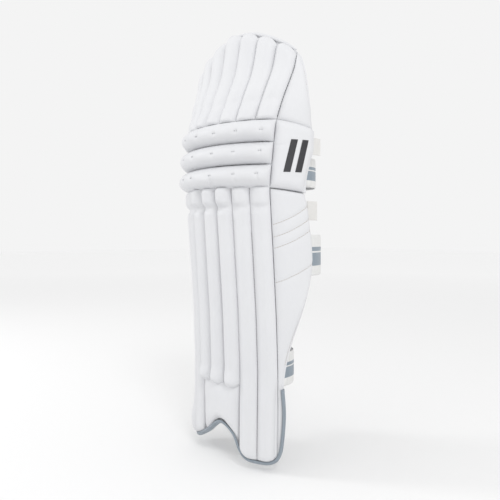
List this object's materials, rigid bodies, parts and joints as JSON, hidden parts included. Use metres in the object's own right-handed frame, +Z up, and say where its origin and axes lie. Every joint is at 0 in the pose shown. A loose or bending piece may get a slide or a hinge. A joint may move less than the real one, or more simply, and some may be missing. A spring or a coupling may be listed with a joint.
{
  "type": "cricket leg pad",
  "caption": "Padded leg guard with upright ribs, a rolled knee section, a folding flap above the knee, side wings and three straps.",
  "frame": {"origin": "on the axis of the wearer's leg, level with the lowest points of the two instep lobes", "axes": "+Z up the leg, -Y the padded front, +X the outer side of the leg"},
  "size_m": [0.2904, 0.229, 0.7315],
  "materials": {
    "cover": "white grained leather cloth",
    "binding": "blue-grey woven binding",
    "lining": "soft woven lining",
    "webbing": "woven webbing with two stripes",
    "hook_tape": "hook tape",
    "loop_tape": "loop tape",
    "tab": "plain woven tab",
    "foam": "soft foam",
    "cane": "split cane"
  },
  "bodies": {
    "shell": {"ankle_strap_tail": "webbing", "calf_strap_tail": "webbing", "foot_binding": "binding", "inner_roll_inner_side": "lining", "inner_roll_outer_side": "lining", "instep_panel": "cover", "knee_core_1": "foam", "knee_core_2": "foam", "knee_core_3": "foam", "knee_cup_inner_side": "lining", "knee_cup_outer_side": "lining", "knee_foam": "foam", "knee_roll_1": "cover", "knee_roll_2": "cover", "knee_roll_3": "cover", "knee_side_inner": "cover", "knee_side_inner_foam": "foam", "knee_side_outer": "cover", "knee_side_outer_foam": "foam", "knee_strap_loop_patch": "loop_tape", "knee_strap_tail": "webbing", "shin_canes": "cane", "shin_foam": "foam", "shin_lining": "lining", "shin_rib_1": "cover", "shin_rib_2": "cover", "shin_rib_3": "cover", "shin_rib_4": "cover", "shin_rib_5": "cover", "shin_rib_6": "cover", "shin_rib_7": "cover", "upper_tab": "tab"},
    "flap": {"crown_binding": "binding", "flap_canes": "cane", "flap_foam": "foam", "flap_lining": "lining", "flap_rib_1": "cover", "flap_rib_2": "cover", "flap_rib_3": "cover", "flap_rib_4": "cover", "flap_rib_5": "cover", "flap_rib_6": "cover", "flap_rib_7": "cover", "flap_side_inner": "cover", "flap_side_inner_foam": "foam", "flap_side_outer": "cover", "flap_side_outer_foam": "foam"},
    "outer_wing": {"lower_tab": "tab", "outer_wing": "cover", "outer_wing_foam": "foam"},
    "inner_wing": {"ankle_strap_loop_patch": "loop_tape", "calf_strap_loop_patch": "loop_tape", "inner_wing": "cover", "inner_wing_foam": "foam"},
    "knee_strap": {"knee_strap": "webbing", "knee_strap_hook_patch": "hook_tape"},
    "calf_strap": {"calf_strap": "webbing", "calf_strap_hook_patch": "hook_tape"},
    "ankle_strap": {"ankle_strap": "webbing", "ankle_strap_hook_patch": "hook_tape"}
  },
  "joints": [
    {"name": "flap_fold", "type": "hinge", "parent": "shell", "child": "flap", "pos_m": [0, -0.106, 0.56], "axis": [1, 0, 0], "range_deg": [-6, 4], "stiffness_Nm_per_rad": 8},
    {"name": "outer_wing_fold", "type": "hinge", "parent": "shell", "child": "outer_wing", "pos_m": [0.10729, -0.04975, 0.285], "axis": [0, -0.0567, 0.9984], "range_deg": [-28, 0], "stiffness_Nm_per_rad": 0.8},
    {"name": "inner_wing_fold", "type": "hinge", "parent": "shell", "child": "inner_wing", "pos_m": [-0.09522, -0.0364, 0.285], "axis": [0, -0.0567, 0.9984], "range_deg": [-10, 0], "stiffness_Nm_per_rad": 0.8},
    {"name": "knee_strap_swing", "type": "hinge", "parent": "shell", "child": "knee_strap", "pos_m": [0.116, 0.0243, 0.485], "axis": [0, 0, 1], "range_deg": [-85, 0]},
    {"name": "calf_strap_swing", "type": "hinge", "parent": "shell", "child": "calf_strap", "pos_m": [0.116, 0.0243, 0.345], "axis": [0, 0, 1], "range_deg": [-85, 0]},
    {"name": "ankle_strap_swing", "type": "hinge", "parent": "shell", "child": "ankle_strap", "pos_m": [0.076, 0.0242, 0.147], "axis": [0, 0, 1], "range_deg": [-85, 0]}
  ]
}
